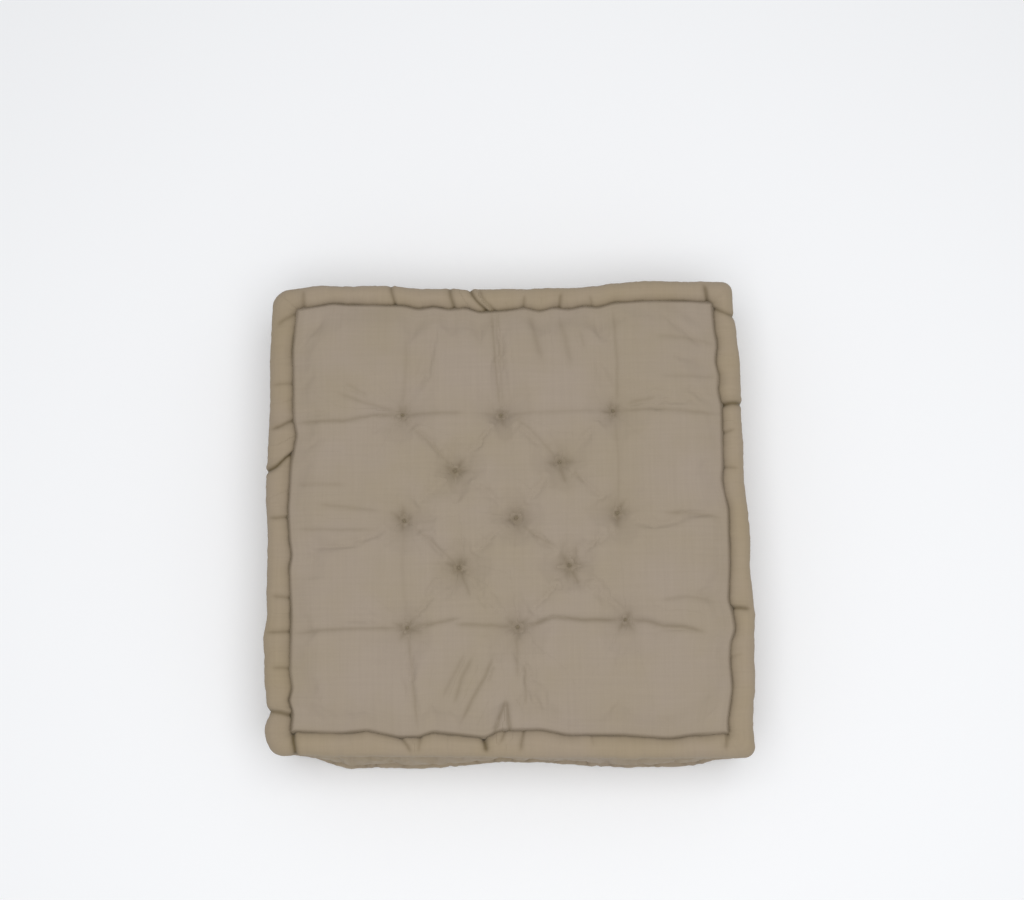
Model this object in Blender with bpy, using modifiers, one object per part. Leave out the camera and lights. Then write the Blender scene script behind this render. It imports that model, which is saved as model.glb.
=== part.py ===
"""Square tufted floor cushion with a hand-stitched rolled edge.

Metres, +Z up. The underside rests on z = 0, the centre is on the Z axis and the front faces -Y.
Heights inside the functions are lifts above the middle plane, because the cushion is the same both
ways up: `way` is +1 for the upper half and -1 for the lower half.
"""

import math

import bmesh
import bpy

# Driving dimensions
SIDE = 0.600  # outer width and depth over the rolled edges
THICKNESS = 0.120  # over both faces
FABRIC = 0.001  # cotton cover cloth
ROLL_RADIUS = 0.014  # rolled edge, outside of the cloth
TUFT_PITCH = 0.134  # between neighbouring tufts of one row
TUFT_DEPTH = 0.018  # how far a tuft pulls the cloth in
TUFT_PINCH = 0.010  # half-width of the steep part of a tuft
TUFT_PINCH_SHARE = 0.45  # share of the depth that is left at the edge of the steep part
SEAM_ANGLE = -38  # where the panel meets the boxing, round the roll from straight out
GROOVE_DEPTH = 0.0185  # the stitched groove inside the roll, below the face
WAIST_LIFT = 0.0285  # the stitched groove outside the roll, above the middle plane
WAIST_INSET = 0.011  # the same groove, in from the outermost edge
WALL_BULGE = 0.009  # how far the side wall swells out beyond its grooves
CLEARANCE = 0.0004

# Corner radii in plan
GROOVE_CORNER = 0.004
CREST_CORNER = 0.012
WALL_CORNER = 0.014

TWINE_RADIUS = 0.0011
KNOT_RADIUS = 0.0024
STITCH_RADIUS = 0.0008
SEAM_RADIUS = 0.0003

HALF = SIDE / 2
MIDDLE = THICKNESS / 2
ROLL_CENTRE = HALF - ROLL_RADIUS
ROLL_LIFT = MIDDLE - ROLL_RADIUS
CELL = TUFT_PITCH / 4
GROOVE_HALF = ROLL_CENTRE - ROLL_RADIUS - 0.0015
GROOVE_LIFT = MIDDLE - GROOVE_DEPTH
WAIST_HALF = HALF - WAIST_INSET

SIDES = {"front": 0, "right": 1, "back": 2, "left": 3}
CORNERS = {"front_right": 0, "back_right": 1, "back_left": 2, "front_left": 3}

# Grid lines of a face, from the centre out to the groove, and the lift of the face along each
FACE_LINES = [
    (0, MIDDLE),
    (CELL, MIDDLE),
    (2 * CELL, MIDDLE),
    (3 * CELL, MIDDLE),
    (4 * CELL, MIDDLE),
    (5 * CELL, MIDDLE),
    (0.225, MIDDLE - 0.001),
    (0.257, MIDDLE - 0.009),
]


def clear_scene():
    for thing in list(bpy.data.objects):
        bpy.data.objects.remove(thing, do_unlink=True)


def collection(name, hidden=False):
    made = bpy.data.collections.new(name)
    made.hide_render = hidden
    bpy.context.scene.collection.children.link(made)
    return made


def material(name, colour, roughness):
    made = bpy.data.materials.new(name)
    made.use_nodes = True
    surface = made.node_tree.nodes["Principled BSDF"]
    surface.inputs["Base Color"].default_value = (*colour, 1)
    surface.inputs["Roughness"].default_value = roughness
    surface.inputs["Metallic"].default_value = 0
    made.diffuse_color = (*colour, 1)
    return made


def place(name, data, home, surface):
    """Adds a mesh or a curve, modelled about the middle plane, as one named object."""
    thing = bpy.data.objects.new(name, data)
    thing.location.z = MIDDLE
    if surface:
        data.materials.append(surface)
    home.objects.link(thing)
    return thing


def mesh_from(shape, name):
    bmesh.ops.recalc_face_normals(shape, faces=shape.faces)
    data = bpy.data.meshes.new(name)
    shape.to_mesh(data)
    shape.free()
    return data


def roll_point(degrees, radius=ROLL_RADIUS):
    """Half-width and lift of a point on the rolled edge: 0 is straight out, 90 is the crest."""
    turn = math.radians(degrees)
    return ROLL_CENTRE + radius * math.cos(turn), ROLL_LIFT + radius * math.sin(turn)


def rounded(half, along, corner):
    """Moves the point (along, half) of a square's edge onto the square with rounded corners.

    The corner itself, where along equals half, lands on the middle of its arc.
    """
    straight = half - corner
    if abs(along) <= straight:
        return along, half
    turn = (abs(along) - straight) / corner * math.pi / 4
    x = straight + corner * math.sin(turn)
    y = straight + corner * math.cos(turn)
    return math.copysign(x, along), y


def turned(x, y, quarters):
    """Turns a point of the front side, y outwards, onto the named side or corner."""
    for _ in range(quarters):
        x, y = -y, x
    return x, y


def on_side(half, along, corner, side):
    x, outwards = rounded(half, along, corner)
    return turned(x, -outwards, side)


def tuft_places():
    """Thirteen tufts: three rows of three, and four in the squares between them."""
    places = []
    for row in (-1, 0, 1):
        for column in (-1, 0, 1):
            places.append((column * TUFT_PITCH, row * TUFT_PITCH))
    for row in (-0.5, 0.5):
        for column in (-0.5, 0.5):
            places.append((column * TUFT_PITCH, row * TUFT_PITCH))
    return sorted(places, key=lambda place_: (-place_[1], place_[0]))


def face_grid(rings):
    """A grid whose lines sit at the rings' half-widths; the outer rings have rounded corners.

    Each ring is (half, lift, corner). Returns the bmesh and the vertex at each grid index.
    """
    count = len(rings) - 1
    groove = len(FACE_LINES)
    shape = bmesh.new()
    bmesh.ops.create_grid(shape, x_segments=2 * count, y_segments=2 * count, size=count)
    at = {}
    for vert in shape.verts:
        i, j = round(vert.co.x), round(vert.co.y)
        at[i, j] = vert
        outer, inner = max(abs(i), abs(j)), min(abs(i), abs(j))
        half, lift, corner = rings[outer]
        along = rings[inner][0]
        if inner > groove:
            along = GROOVE_HALF + (half - GROOVE_HALF) * (inner - groove) / (outer - groove)
        x, y = (half, along)
        if corner:
            y, x = rounded(half, along, corner)
        if abs(j) > abs(i):
            x, y = y, x
        vert.co = (math.copysign(x, i), math.copysign(y, j), lift)
    return shape, at


def pinch_tufts(shape, at):
    """Pulls the cloth down at each tuft: a steep pinch inside a wider hollow."""
    for x, y in tuft_places():
        centre = at[round(x / CELL), round(y / CELL)]
        hollow = list(centre.link_faces)
        bmesh.ops.inset_region(shape, faces=hollow, thickness=CELL - TUFT_PINCH)
        for face in list(centre.link_faces):
            far = max(face.verts, key=lambda vert: (vert.co - centre.co).length)
            bmesh.utils.face_split(face, centre, far)
        for edge in centre.link_edges:
            edge.other_vert(centre).co.z -= TUFT_DEPTH * TUFT_PINCH_SHARE
        centre.co.z -= TUFT_DEPTH


def panel_rings():
    rings = [(half, lift, 0) for half, lift in FACE_LINES]
    rings.append((GROOVE_HALF, GROOVE_LIFT, GROOVE_CORNER))
    for step, corner in ((4, 0.006), (3, 0.009), (2, 0.011), (1, CREST_CORNER), (0, CREST_CORNER)):
        rings.append((*roll_point(SEAM_ANGLE + 50 * step), corner))
    return rings


def panel(name, way, home, surface):
    """One face of the cover: it wraps over each rolled edge, to the seam under its outer side."""
    shape, at = face_grid(panel_rings())
    pinch_tufts(shape, at)
    for vert in shape.verts:
        vert.co.z *= way
    if way < 0:
        bmesh.ops.reverse_faces(shape, faces=shape.faces)
    data = bpy.data.meshes.new(name)
    shape.to_mesh(data)
    shape.free()
    thing = place(name, data, home, surface)
    thicken(thing)
    cut(thing, tuft_holes)
    return thing


def thicken(thing):
    """Gives an open surface its cloth thickness, inwards from the outside of the cushion."""
    solidify = thing.modifiers.new("cloth", "SOLIDIFY")
    solidify.thickness = FABRIC
    solidify.offset = -1
    solidify.use_even_offset = False


def cut(thing, holes):
    boolean = thing.modifiers.new("tuft holes", "BOOLEAN")
    boolean.operation = "DIFFERENCE"
    boolean.solver = "EXACT"
    boolean.object = holes


def make_tuft_holes(home):
    """Thirteen rods that the tufting twine's channels are cut with."""
    shape = bmesh.new()
    for x, y in tuft_places():
        made = bmesh.ops.create_cone(
            shape,
            cap_ends=True,
            segments=6,
            radius1=TWINE_RADIUS + CLEARANCE,
            radius2=TWINE_RADIUS + CLEARANCE,
            depth=2 * THICKNESS,
        )
        bmesh.ops.translate(shape, verts=made["verts"], vec=(x, y, 0))
    thing = place("tuft_holes", mesh_from(shape, "tuft_holes"), home, None)
    thing.display_type = "WIRE"
    thing.hide_render = True
    return thing


def boxing_profile():
    """(half, lift, corner) down the wall, from under the upper roll to above the lower roll."""
    seam_half, seam_lift = roll_point(SEAM_ANGLE)
    flank = 0.12
    start_half = seam_half + flank * (WAIST_HALF - seam_half)
    start_lift = seam_lift + flank * (WAIST_LIFT - seam_lift)
    upper = [
        (start_half, start_lift, CREST_CORNER),
        (WAIST_HALF, WAIST_LIFT, WALL_CORNER),
        (WAIST_HALF + 0.75 * WALL_BULGE, WAIST_LIFT / 2, WALL_CORNER),
    ]
    middle = [(WAIST_HALF + WALL_BULGE, 0, WALL_CORNER)]
    lower = [(half, -lift, corner) for half, lift, corner in reversed(upper)]
    return upper + middle + lower


def boxing(side, home, surface):
    """One side wall of the cover, from corner seam to corner seam."""
    profile = boxing_profile()
    shares = (-1, -0.9825, -0.965, -0.6, -0.2, 0.2, 0.6, 0.965, 0.9825, 1)
    shape = bmesh.new()
    rows = []
    for half, lift, corner in profile:
        reach = half - CLEARANCE
        row = []
        for share in shares:
            x, y = on_side(half, share * reach, corner, SIDES[side])
            row.append(shape.verts.new((x, y, lift)))
        rows.append(row)
    for above, below in zip(rows, rows[1:]):
        for k in range(len(shares) - 1):
            shape.faces.new((above[k], below[k], below[k + 1], above[k + 1]))
    data = bpy.data.meshes.new(f"boxing_{side}")
    shape.to_mesh(data)
    shape.free()
    thing = place(f"boxing_{side}", data, home, surface)
    thicken(thing)
    return thing


def wire(name, points, radius, home, surface, loop=False, sides=1):
    """A round thread or roll along a line of points."""
    data = bpy.data.curves.new(name, "CURVE")
    data.dimensions = "3D"
    data.bevel_depth = radius
    data.bevel_resolution = sides
    data.use_fill_caps = not loop
    spline = data.splines.new("POLY")
    spline.points.add(len(points) - 1)
    for point, co in zip(spline.points, points):
        point.co = (*co, 1)
    spline.use_cyclic_u = loop
    return place(name, data, home, surface)


def side_line(half, lift, corner, side):
    """Points along one side, from the middle of one corner to the middle of the next."""
    arc = corner / half
    shares = (-1, -1 + arc / 3, -1 + 2 * arc / 3, -1 + arc, 0, 1 - arc, 1 - 2 * arc / 3, 1 - arc / 3, 1)
    return [(*on_side(half, share * half, corner, side), lift) for share in shares]


def loop_line(half, lift, corner):
    points = []
    for side in range(4):
        points += side_line(half, lift, corner, side)[:-1]
    return points


def roll_wadding(name, side, way, home, surface):
    """The strip of wadding that fills one rolled edge; its ends meet the next at the corners."""
    lift = way * ROLL_LIFT
    turns = SIDES[side]
    x, outwards = rounded(ROLL_CENTRE, ROLL_CENTRE, ROLL_RADIUS)
    ends = []
    for back in (CLEARANCE, 6 * CLEARANCE):
        step = back / math.sqrt(2)
        ends.append((x - step, outwards + step))
    points = [(*turned(-x_, -y_, turns), lift) for x_, y_ in ends]
    points += side_line(ROLL_CENTRE, lift, ROLL_RADIUS, turns)[2:-2]
    points += [(*turned(x_, -y_, turns), lift) for x_, y_ in reversed(ends)]
    return wire(name, points, ROLL_RADIUS - 2.6 * FABRIC, home, surface, sides=2)


def stuffing(home, surface):
    """The cotton fill: both faces a little inside the cloth, bevelled away under the rolls."""
    drop = FABRIC * 2.4
    rings = [(half, lift - drop, 0) for half, lift in FACE_LINES]
    rings.append((GROOVE_HALF - 0.0025, GROOVE_LIFT - drop, GROOVE_CORNER))
    shape, at = face_grid(rings)
    pinch_tufts(shape, at)
    skin = FABRIC + 2 * CLEARANCE
    walls = [
        (WAIST_HALF - 2 * skin, WAIST_LIFT - skin, WALL_CORNER),
        (WAIST_HALF + 0.75 * WALL_BULGE - skin, WAIST_LIFT / 2, WALL_CORNER),
        (WAIST_HALF + WALL_BULGE - skin, 0, WALL_CORNER),
    ]
    last = rings[-1][0]
    for half, lift, corner in walls:
        rim = [edge for edge in shape.edges if edge.is_boundary]
        made = bmesh.ops.extrude_edge_only(shape, edges=rim)
        for vert in [part for part in made["geom"] if isinstance(part, bmesh.types.BMVert)]:
            vert.co = moved_out(vert.co, last, half, lift, corner)
        last = half
    for vert in shape.verts:
        if vert.co.z < 1e-6:
            vert.co.z = 0
    thing = place("cotton_stuffing", mesh_from(shape, "cotton_stuffing"), home, surface)
    mirror = thing.modifiers.new("other half", "MIRROR")
    mirror.use_axis = (False, False, True)
    mirror.merge_threshold = 0.0001
    cut(thing, tuft_holes)
    return thing


def moved_out(co, last, half, lift, corner):
    """The point of the next ring out that faces this point of the ring at half-width last."""
    if abs(co.x) >= abs(co.y):
        along, outwards = rounded(half, co.y * half / last, corner)
        return math.copysign(outwards, co.x), along, lift
    along, outwards = rounded(half, co.x * half / last, corner)
    return along, math.copysign(outwards, co.y), lift


def tuft_tie(name, x, y, home, surface):
    """Twine through the whole cushion, with a knot pulled down into the tuft at each end."""
    floor = MIDDLE - TUFT_DEPTH
    slope = TUFT_DEPTH * (1 - TUFT_PINCH_SHARE) / TUFT_PINCH
    knot = floor + KNOT_RADIUS * math.hypot(1, slope) + CLEARANCE
    profile = []
    for degrees in (90, 35, -15):
        turn = math.radians(degrees)
        profile.append((KNOT_RADIUS * math.cos(turn), knot + KNOT_RADIUS * math.sin(turn)))
    profile.append((TWINE_RADIUS, knot - 0.85 * KNOT_RADIUS))
    profile += [(radius, -lift) for radius, lift in reversed(profile)]
    shape = bmesh.new()
    line = [shape.verts.new((max(radius, 0), 0, lift)) for radius, lift in profile]
    for above, below in zip(line, line[1:]):
        shape.edges.new((above, below))
    data = bpy.data.meshes.new(name)
    shape.to_mesh(data)
    shape.free()
    thing = place(name, data, home, surface)
    thing.location.x = x
    thing.location.y = y
    screw = thing.modifiers.new("turn", "SCREW")
    screw.steps = 8
    screw.render_steps = 8
    screw.use_merge_vertices = True
    screw.merge_threshold = 0.0001
    screw.use_normal_calculate = True
    return thing


def edge_stitches(way, level, home, surface):
    """The two lines of edge stitching that hold one roll: in the face groove and under the roll."""
    groove = loop_line(GROOVE_HALF - 0.0017, way * (GROOVE_LIFT + 0.0026), GROOVE_CORNER)
    wire(f"{level}_face_stitching", groove, STITCH_RADIUS, home, surface, loop=True)
    waist = loop_line(WAIST_HALF + 0.0022, way * (WAIST_LIFT + 0.001), WALL_CORNER)
    wire(f"{level}_wall_stitching", waist, STITCH_RADIUS, home, surface, loop=True)


def panel_seam(way, level, home, surface):
    """The sewing thread that joins a panel to the boxing, inside the seam under the roll."""
    half, lift = roll_point(SEAM_ANGLE - 4, ROLL_RADIUS - FABRIC - 1.8 * SEAM_RADIUS)
    line = loop_line(half, way * lift, CREST_CORNER)
    wire(f"{level}_seam_thread", line, SEAM_RADIUS, home, surface, loop=True, sides=0)


def corner_seam(corner, home, surface):
    """The sewing thread inside one corner, where two side walls are joined."""
    outline = []
    for half, lift, radius in boxing_profile():
        x, outwards = rounded(half, half, radius)
        outline.append((math.hypot(x, outwards), lift))
    inset = 2 * FABRIC + SEAM_RADIUS
    points = []
    for before, here, after in zip(outline, outline[1:], outline[2:]):
        along = math.atan2(after[1] - before[1], after[0] - before[0])
        reach = (here[0] + inset * math.sin(along)) / math.sqrt(2)
        lift = here[1] - inset * math.cos(along)
        points.append((*turned(reach, -reach, CORNERS[corner]), lift))
    wire(f"corner_seam_thread_{corner}", points, SEAM_RADIUS, home, surface, sides=0)


clear_scene()
cushion = collection("floor_cushion")
cutters = collection("cutters", hidden=True)
tuft_holes = make_tuft_holes(cutters)

cotton = material("cover_cotton", (0.350, 0.290, 0.220), 0.9)
wadding = material("cotton_wadding", (0.800, 0.770, 0.690), 1.0)
twine = material("tufting_twine", (0.290, 0.230, 0.160), 0.85)
thread = material("sewing_thread", (0.330, 0.270, 0.200), 0.8)

for level, way in (("top", 1), ("bottom", -1)):
    panel(f"{level}_panel", way, cushion, cotton)
    for side in SIDES:
        roll_wadding(f"{level}_roll_wadding_{side}", side, way, cushion, wadding)
    edge_stitches(way, level, cushion, twine)
    panel_seam(way, level, cushion, thread)
for side in SIDES:
    boxing(side, cushion, cotton)
for corner in CORNERS:
    corner_seam(corner, cushion, thread)
stuffing(cushion, wadding)
for number, (x, y) in enumerate(tuft_places(), start=1):
    tuft_tie(f"tuft_tie_{number:02d}", x, y, cushion, twine)
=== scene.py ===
"""The looks of the tufted floor cushion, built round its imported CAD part. Lengths are in metres."""

import math

import bpy
import numpy as np
from mathutils import Matrix, Vector


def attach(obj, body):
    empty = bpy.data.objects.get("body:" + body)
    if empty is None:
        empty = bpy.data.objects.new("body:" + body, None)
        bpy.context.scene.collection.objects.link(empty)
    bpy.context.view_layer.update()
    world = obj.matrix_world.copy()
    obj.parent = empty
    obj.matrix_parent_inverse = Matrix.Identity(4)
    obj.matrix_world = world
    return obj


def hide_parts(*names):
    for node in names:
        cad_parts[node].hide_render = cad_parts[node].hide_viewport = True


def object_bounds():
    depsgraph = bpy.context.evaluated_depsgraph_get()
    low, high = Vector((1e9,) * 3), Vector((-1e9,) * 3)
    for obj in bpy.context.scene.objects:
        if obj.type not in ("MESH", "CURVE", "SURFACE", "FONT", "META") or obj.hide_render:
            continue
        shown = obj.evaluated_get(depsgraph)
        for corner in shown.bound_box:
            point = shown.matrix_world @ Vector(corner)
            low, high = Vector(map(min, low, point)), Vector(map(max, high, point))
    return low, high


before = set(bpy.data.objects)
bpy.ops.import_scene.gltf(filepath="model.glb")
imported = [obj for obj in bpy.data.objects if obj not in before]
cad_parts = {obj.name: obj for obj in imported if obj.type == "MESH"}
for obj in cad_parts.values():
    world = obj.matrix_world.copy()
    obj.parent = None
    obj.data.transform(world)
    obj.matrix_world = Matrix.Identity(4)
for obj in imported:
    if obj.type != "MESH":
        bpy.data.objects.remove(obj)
CAD_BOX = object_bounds()

# ---- Sizes ----

THICK = CAD_BOX[1].z - CAD_BOX[0].z
EDGE = CAD_BOX[1].x  # outermost line of the rolls
GROOVE = 0.2700  # where the roll's inner side meets the face
RIM = 0.2725  # how far a face panel runs on under the roll
ROLL_LIFT = 0.0140  # roll's middle, in from the face level
ROLL_HALF_HEIGHT = 0.0145
REACH = 0.262  # straight part of each side, before its corner zone
PITCH = 0.134  # from tuft to tuft
MM = 0.001
CLOTH = 0.0010
FILLING_GAP = 0.0060
TUFT_DEPTH = 0.0096
WAIST = 0.2880  # the wall where it is stitched in under the rolls
WALL_HALF_HEIGHT = 0.0350
KNOT_TURN = 0.0005  # a third of the knot's radius, without the twine's thickness
STITCH_ROW = 0.252  # from the middle of a side to its last stitch
STITCH_STEP = 0.018
STITCH_LONG = 0.009
FACE_ROW_LEVEL = 0.0093  # the stitches in the groove, in from the face level
WALL_ROW_LEVEL = 0.0310  # the stitches under the roll
LEAST_LIFT = 0.0002  # nothing of the underside goes lower than this
EDGE_DEPTH = 0.0105  # how far a face lies below its crest at the groove
EDGE_STEP = 0.0028  # its steep rise from the stitches
EDGE_DOME = 0.0070  # and the gentle one after it
TUFT_DIMPLE = (0.0042, 0.024)  # depth and reach of the wide hollow round a tuft
TUFT_FUNNEL = (0.0032, 0.009)
ROLL_CORNER = 0.0090  # corner radius at the roll's middle
ROLL_CORNER_SPREAD = 0.0060  # how much larger it is outside and smaller inside
LEFT_CORNER_EXTRA = 0.0065  # the corners on the left are rounder
WALL_CORNER = 0.0125
WALL_BELLY = 0.0075
SWELL_FRAMES = 20

SKY = 0.55
SOFTBOX = 35.5
SOFTBOX_SIZE = 2.2
SOFTBOX_PLACE = (0.10, -0.26, 2.4)
SOFTBOX_AIM = (0.04, -0.03, 0)
CAMERA_PLACE = (0.006, -0.292, 2.234)
CAMERA_TILT = 10.05
CAMERA_TURN = -0.8
CAMERA_LENS = 60

SIDES = ("front", "right", "back", "left")

# Small departures from the square, as (place along the side, distance outwards) in mm, at the points
# where the line bends. Front and back run from left to right, left and right from front to back.
FACE_LINE = {
    "back": [
        (-275, 0), (-222, 8), (-200, 6), (-130, 4), (-110, -1), (-90, 2), (-70, -2), (-50, 0), (-32, -6),
        (5, -4), (25, -1), (45, -6), (62, -1), (82, -4), (102, 0), (120, -2), (140, 4), (180, 6), (240, 5),
        (275, 2),
    ],
    "front": [
        (-275, -7), (-205, -4), (-175, -7), (-137, 2), (-112, 2), (-95, -4), (-30, 4), (-13, -5), (38, -5),
        (70, 2), (137, 3), (195, 8), (225, 4), (275, 2),
    ],
    "right": [
        (-255, -2), (-218, 5), (-182, 3), (-162, 5), (-145, 11), (-127, 9), (-108, 4), (-70, 7), (5, 8),
        (42, 1), (60, 3), (138, 4), (157, 0), (177, 2), (196, -2), (216, 1), (235, -2), (275, -4),
    ],
    "left": [
        (-270, -1), (-247, -3), (-229, 2), (-211, -2), (-190, 1), (-120, 0), (-63, 3), (-45, 0), (-26, 3),
        (12, 5), (70, 2), (107, -5), (126, -1), (220, 1), (275, -5),
    ],
}
OUTER_LINE = {
    "back": [
        (-290, -4), (-243, 3), (-205, 1), (-145, 2), (-110, -3), (-70, -3), (-50, -5), (82, -5), (120, -3),
        (140, 1), (178, 3), (290, 1),
    ],
    "front": [(-290, -7), (-263, -7), (150, 2), (290, 3)],
    "right": [
        (-290, 1), (-255, -1), (-218, 3), (-180, 4), (-127, 7), (-70, 3), (-35, 5), (4, 3), (23, 0),
        (196, 0), (235, -3), (255, -6), (285, -6),
    ],
    "left": [
        (-290, -1), (-265, 3), (-247, -4), (-229, 1), (-150, 5), (-120, 1), (-25, 1), (50, 4), (165, -1),
        (204, 1), (285, -2),
    ],
}
# How far the lower roll and the wall bulge past the upper roll
LOWER_LINE = {
    "back": [(-280, -2), (-150, 3), (0, -1), (150, 5), (280, 0)],
    "front": [
        (-290, -9), (-255, -5), (-232, 3), (-205, 10), (-170, 9), (-137, 11), (-90, 10), (-40, 6.5),
        (-10, 4.5), (30, 5.5), (70, 8), (112, 12), (200, 14), (237, 11), (262, 5), (290, 3),
    ],
    "right": [(-280, 0), (-160, 4), (-40, 1), (120, 3), (280, -3)],
    "left": [(-280, -2), (-120, 3), (20, 1), (160, 4), (280, -1)],
}

# Pleats across the upper roll: (place along, slant, depth, width, reach). Slant is how far the pleat
# moves along the side from the inner edge to the outer edge, and reach the share of the roll it
# crosses from the inner edge before it fades. The first four are in mm.
PLEATS = {
    "back": [
        (-262, 1, 1.2, 2.4, 0.9), (-140, -4, 1.8, 2.0, 1.3), (-64, -5, 1.9, 2.2, 1.2),
        (-22, -22, 2.6, 2.2, 1.4), (-12, -20, 1.2, 1.8, 1.1), (24, 3, 1.2, 1.8, 0.7),
        (70, 2, 1.6, 2.0, 0.8), (112, -3, 0.8, 2.0, 0.6), (264, -3, 2.2, 2.2, 0.9),
    ],
    "front": [
        (-267, 3, 3.2, 2.2, 1.5), (-134, 13, 1.5, 2.2, 0.9), (-110, -2, 1.0, 2.0, 0.9),
        (-33, 5, 3.0, 2.4, 0.9), (-6, -8, 1.2, 2.0, 0.6), (17, -4, 1.5, 2.0, 0.9), (100, 3, 0.5, 2.0, 0.6),
        (269, -6, 1.4, 2.2, 0.8),
    ],
    "right": [
        (138, 1, 3.0, 2.4, 1.5), (102, 3, 1.1, 2.0, 0.7), (58, -3, 1.0, 2.0, 0.8),
        (-119, -2, 2.4, 2.2, 0.9), (262, -8, 2.0, 2.2, 1.3), (-180, 4, 0.5, 2.2, 0.6),
    ],
    "left": [
        (173, -2, 0.9, 2.0, 1.0), (126, -12, 1.9, 2.2, 1.0), (84, -24, 3.2, 2.4, 1.3),
        (2, -2, 1.4, 2.0, 1.0), (-99, 1, 1.1, 2.0, 0.9), (-141, 0, 1.4, 2.0, 1.0), (-186, 0, 1.1, 2.0, 0.8),
        (-250, 5, 2.3, 2.6, 1.5), (264, -12, 1.3, 3.0, 0.9),
    ],
}

# The tufts of the upper face, in millimetres, a little off a regular pattern
TUFTS = [
    (-131, 131), (-6, 129), (136, 133), (-65, 59), (67, 68), (-129, -4), (11, -2),
    (138, 2), (-61, -64), (77, -63), (-126, -138), (11, -139), (145, -132),
]

# Creases of the upper face: points, depth and width, all in millimetres
CREASES = [
    ([(-273, 122), (-203, 123), (-169, 129), (-131, 131)], 1.0, 2.2),
    ([(-131, 131), (-86, 131), (-49, 131)], 0.8, 2.2),
    ([(-49, 131), (-6, 129), (61, 131), (136, 133)], 0.5, 2.4),
    ([(136, 133), (201, 131), (275, 125)], 0.7, 2.4),
    ([(-273, -143), (-199, -139), (-126, -138)], 0.9, 2.2),
    ([(-126, -138), (-94, -134), (-57, -127)], 1.0, 2.0),
    ([(-71, -135), (-19, -137), (11, -139)], 0.9, 2.2),
    ([(11, -139), (33, -135), (54, -128), (96, -132), (145, -132)], 1.4, 2.2),
    ([(145, -132), (167, -133), (190, -140), (216, -142), (246, -150)], 1.2, 2.4),
    ([(-17, 270), (-13, 196), (-7, 133)], 0.8, 1.8),
    ([(-9, 270), (-7, 196), (-3, 136)], 0.5, 1.8),
    ([(138, 270), (142, 196), (140, 136)], 0.6, 2.0),
    ([(137, 132), (141, 66), (138, 4)], 0.4, 2.2),
    ([(-125, 236), (-127, 176), (-131, 131)], 0.4, 3.0),
    ([(-129, -4), (-131, -64), (-126, -138)], 0.3, 2.4),
    ([(-127, -138), (-120, -180), (-113, -266)], 0.7, 2.0),
    ([(10, -139), (9, -204)], 0.7, 2.2),
    ([(19, -184), (19, -238)], 0.7, 1.8),
    ([(-124, 118), (-99, 96), (-65, 59)], 0.5, 2.0),
    ([(9, 126), (31, 109), (67, 68)], 0.5, 2.0),
    ([(-121, -10), (-94, -32), (-59, -65)], 0.5, 2.0),
    ([(17, -10), (35, -26), (57, -40)], 0.6, 2.0),
    ([(-59, -69), (-47, -102)], 0.7, 1.8),
    ([(-216, 160), (-179, 145), (-134, 134)], 0.6, 2.2),
    ([(-204, 172), (-171, 152)], 0.4, 2.2),
    ([(-269, 43), (-199, 42)], 0.5, 2.4),
    ([(-239, 18), (-156, 7)], 0.6, 2.4),
    ([(-269, -13), (-159, -16)], 0.6, 2.2),
    ([(191, 2), (231, 0), (272, -7)], 0.7, 2.2),
    ([(186, -108), (221, -105), (253, -110)], 0.6, 2.4),
    ([(186, 227), (231, 224), (273, 216)], 0.5, 2.6),
    ([(191, 175), (273, 174)], 0.4, 2.4),
    ([(151, 140), (191, 148)], 0.6, 2.2),
    ([(-18, -170), (-30, -199), (-45, -225), (-63, -260)], 1.0, 2.0),
    ([(-44, -173), (-58, -199), (-69, -235)], 0.8, 2.2),
    ([(-54, -170), (-73, -206), (-83, -226)], 0.6, 2.2),
    ([(-18, -184), (-26, -207)], 0.5, 1.8),
    ([(-5, -226), (-20, -270)], 1.5, 2.0),
    ([(-5, -226), (0, -270)], 1.4, 2.0),
    ([(31, 262), (37, 236), (47, 194)], 0.7, 3.6),
    ([(69, 258), (84, 188)], 0.6, 3.4),
    ([(95, 236), (101, 211)], 0.4, 2.0),
    ([(50, 67), (67, 68), (86, 68)], 0.8, 2.6),
    ([(67, 64), (74, 40)], 0.8, 2.0),
    ([(84, 56), (98, 38)], 0.5, 2.0),
    ([(59, -64), (77, -63), (96, -64)], 0.8, 2.2),
    ([(78, -65), (88, -88)], 0.9, 2.0),
    ([(80, -59), (86, -40)], 0.5, 2.0),
]


# ---- Small tools ----

def smooth_step(x):
    x = np.clip(x, 0, 1)
    return x * x * (3 - 2 * x)


def hump(distance, width):
    """1 at no distance, and soon nothing past the width."""
    return np.exp(-((distance / width) ** 2))


def away(x, y, spot):
    """Distance from a spot in plan."""
    return np.hypot(x - spot[0], y - spot[1])


def wave(along, knots, blur=0.004):
    """Reads a line of (place, value) knots, in millimetres, with its kinks softened."""
    places = np.array([place for place, _ in knots]) * MM
    values = np.array([value for _, value in knots]) * MM
    shifts = np.linspace(-1, 1, 7) * blur
    return sum(np.interp(along + shift, places, values) for shift in shifts) / len(shifts)


def soft_noise(u, v, seed, wrap=None):
    """Smooth seeded noise from -1 to 1 at (u, v), counted in cells; u may wrap round after some cells."""
    size = 97
    table = np.random.default_rng(seed).uniform(-1, 1, (size, size))
    u0, v0 = np.floor(u).astype(int), np.floor(v).astype(int)
    fu, fv = smooth_step(u - u0), smooth_step(v - v0)
    ends = []
    for du in (0, 1):
        column = (u0 + du) % (wrap or size) % size
        low, high = table[column, v0 % size], table[column, (v0 + 1) % size]
        ends.append(low + (high - low) * fv)
    return ends[0] + (ends[1] - ends[0]) * fu


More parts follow.
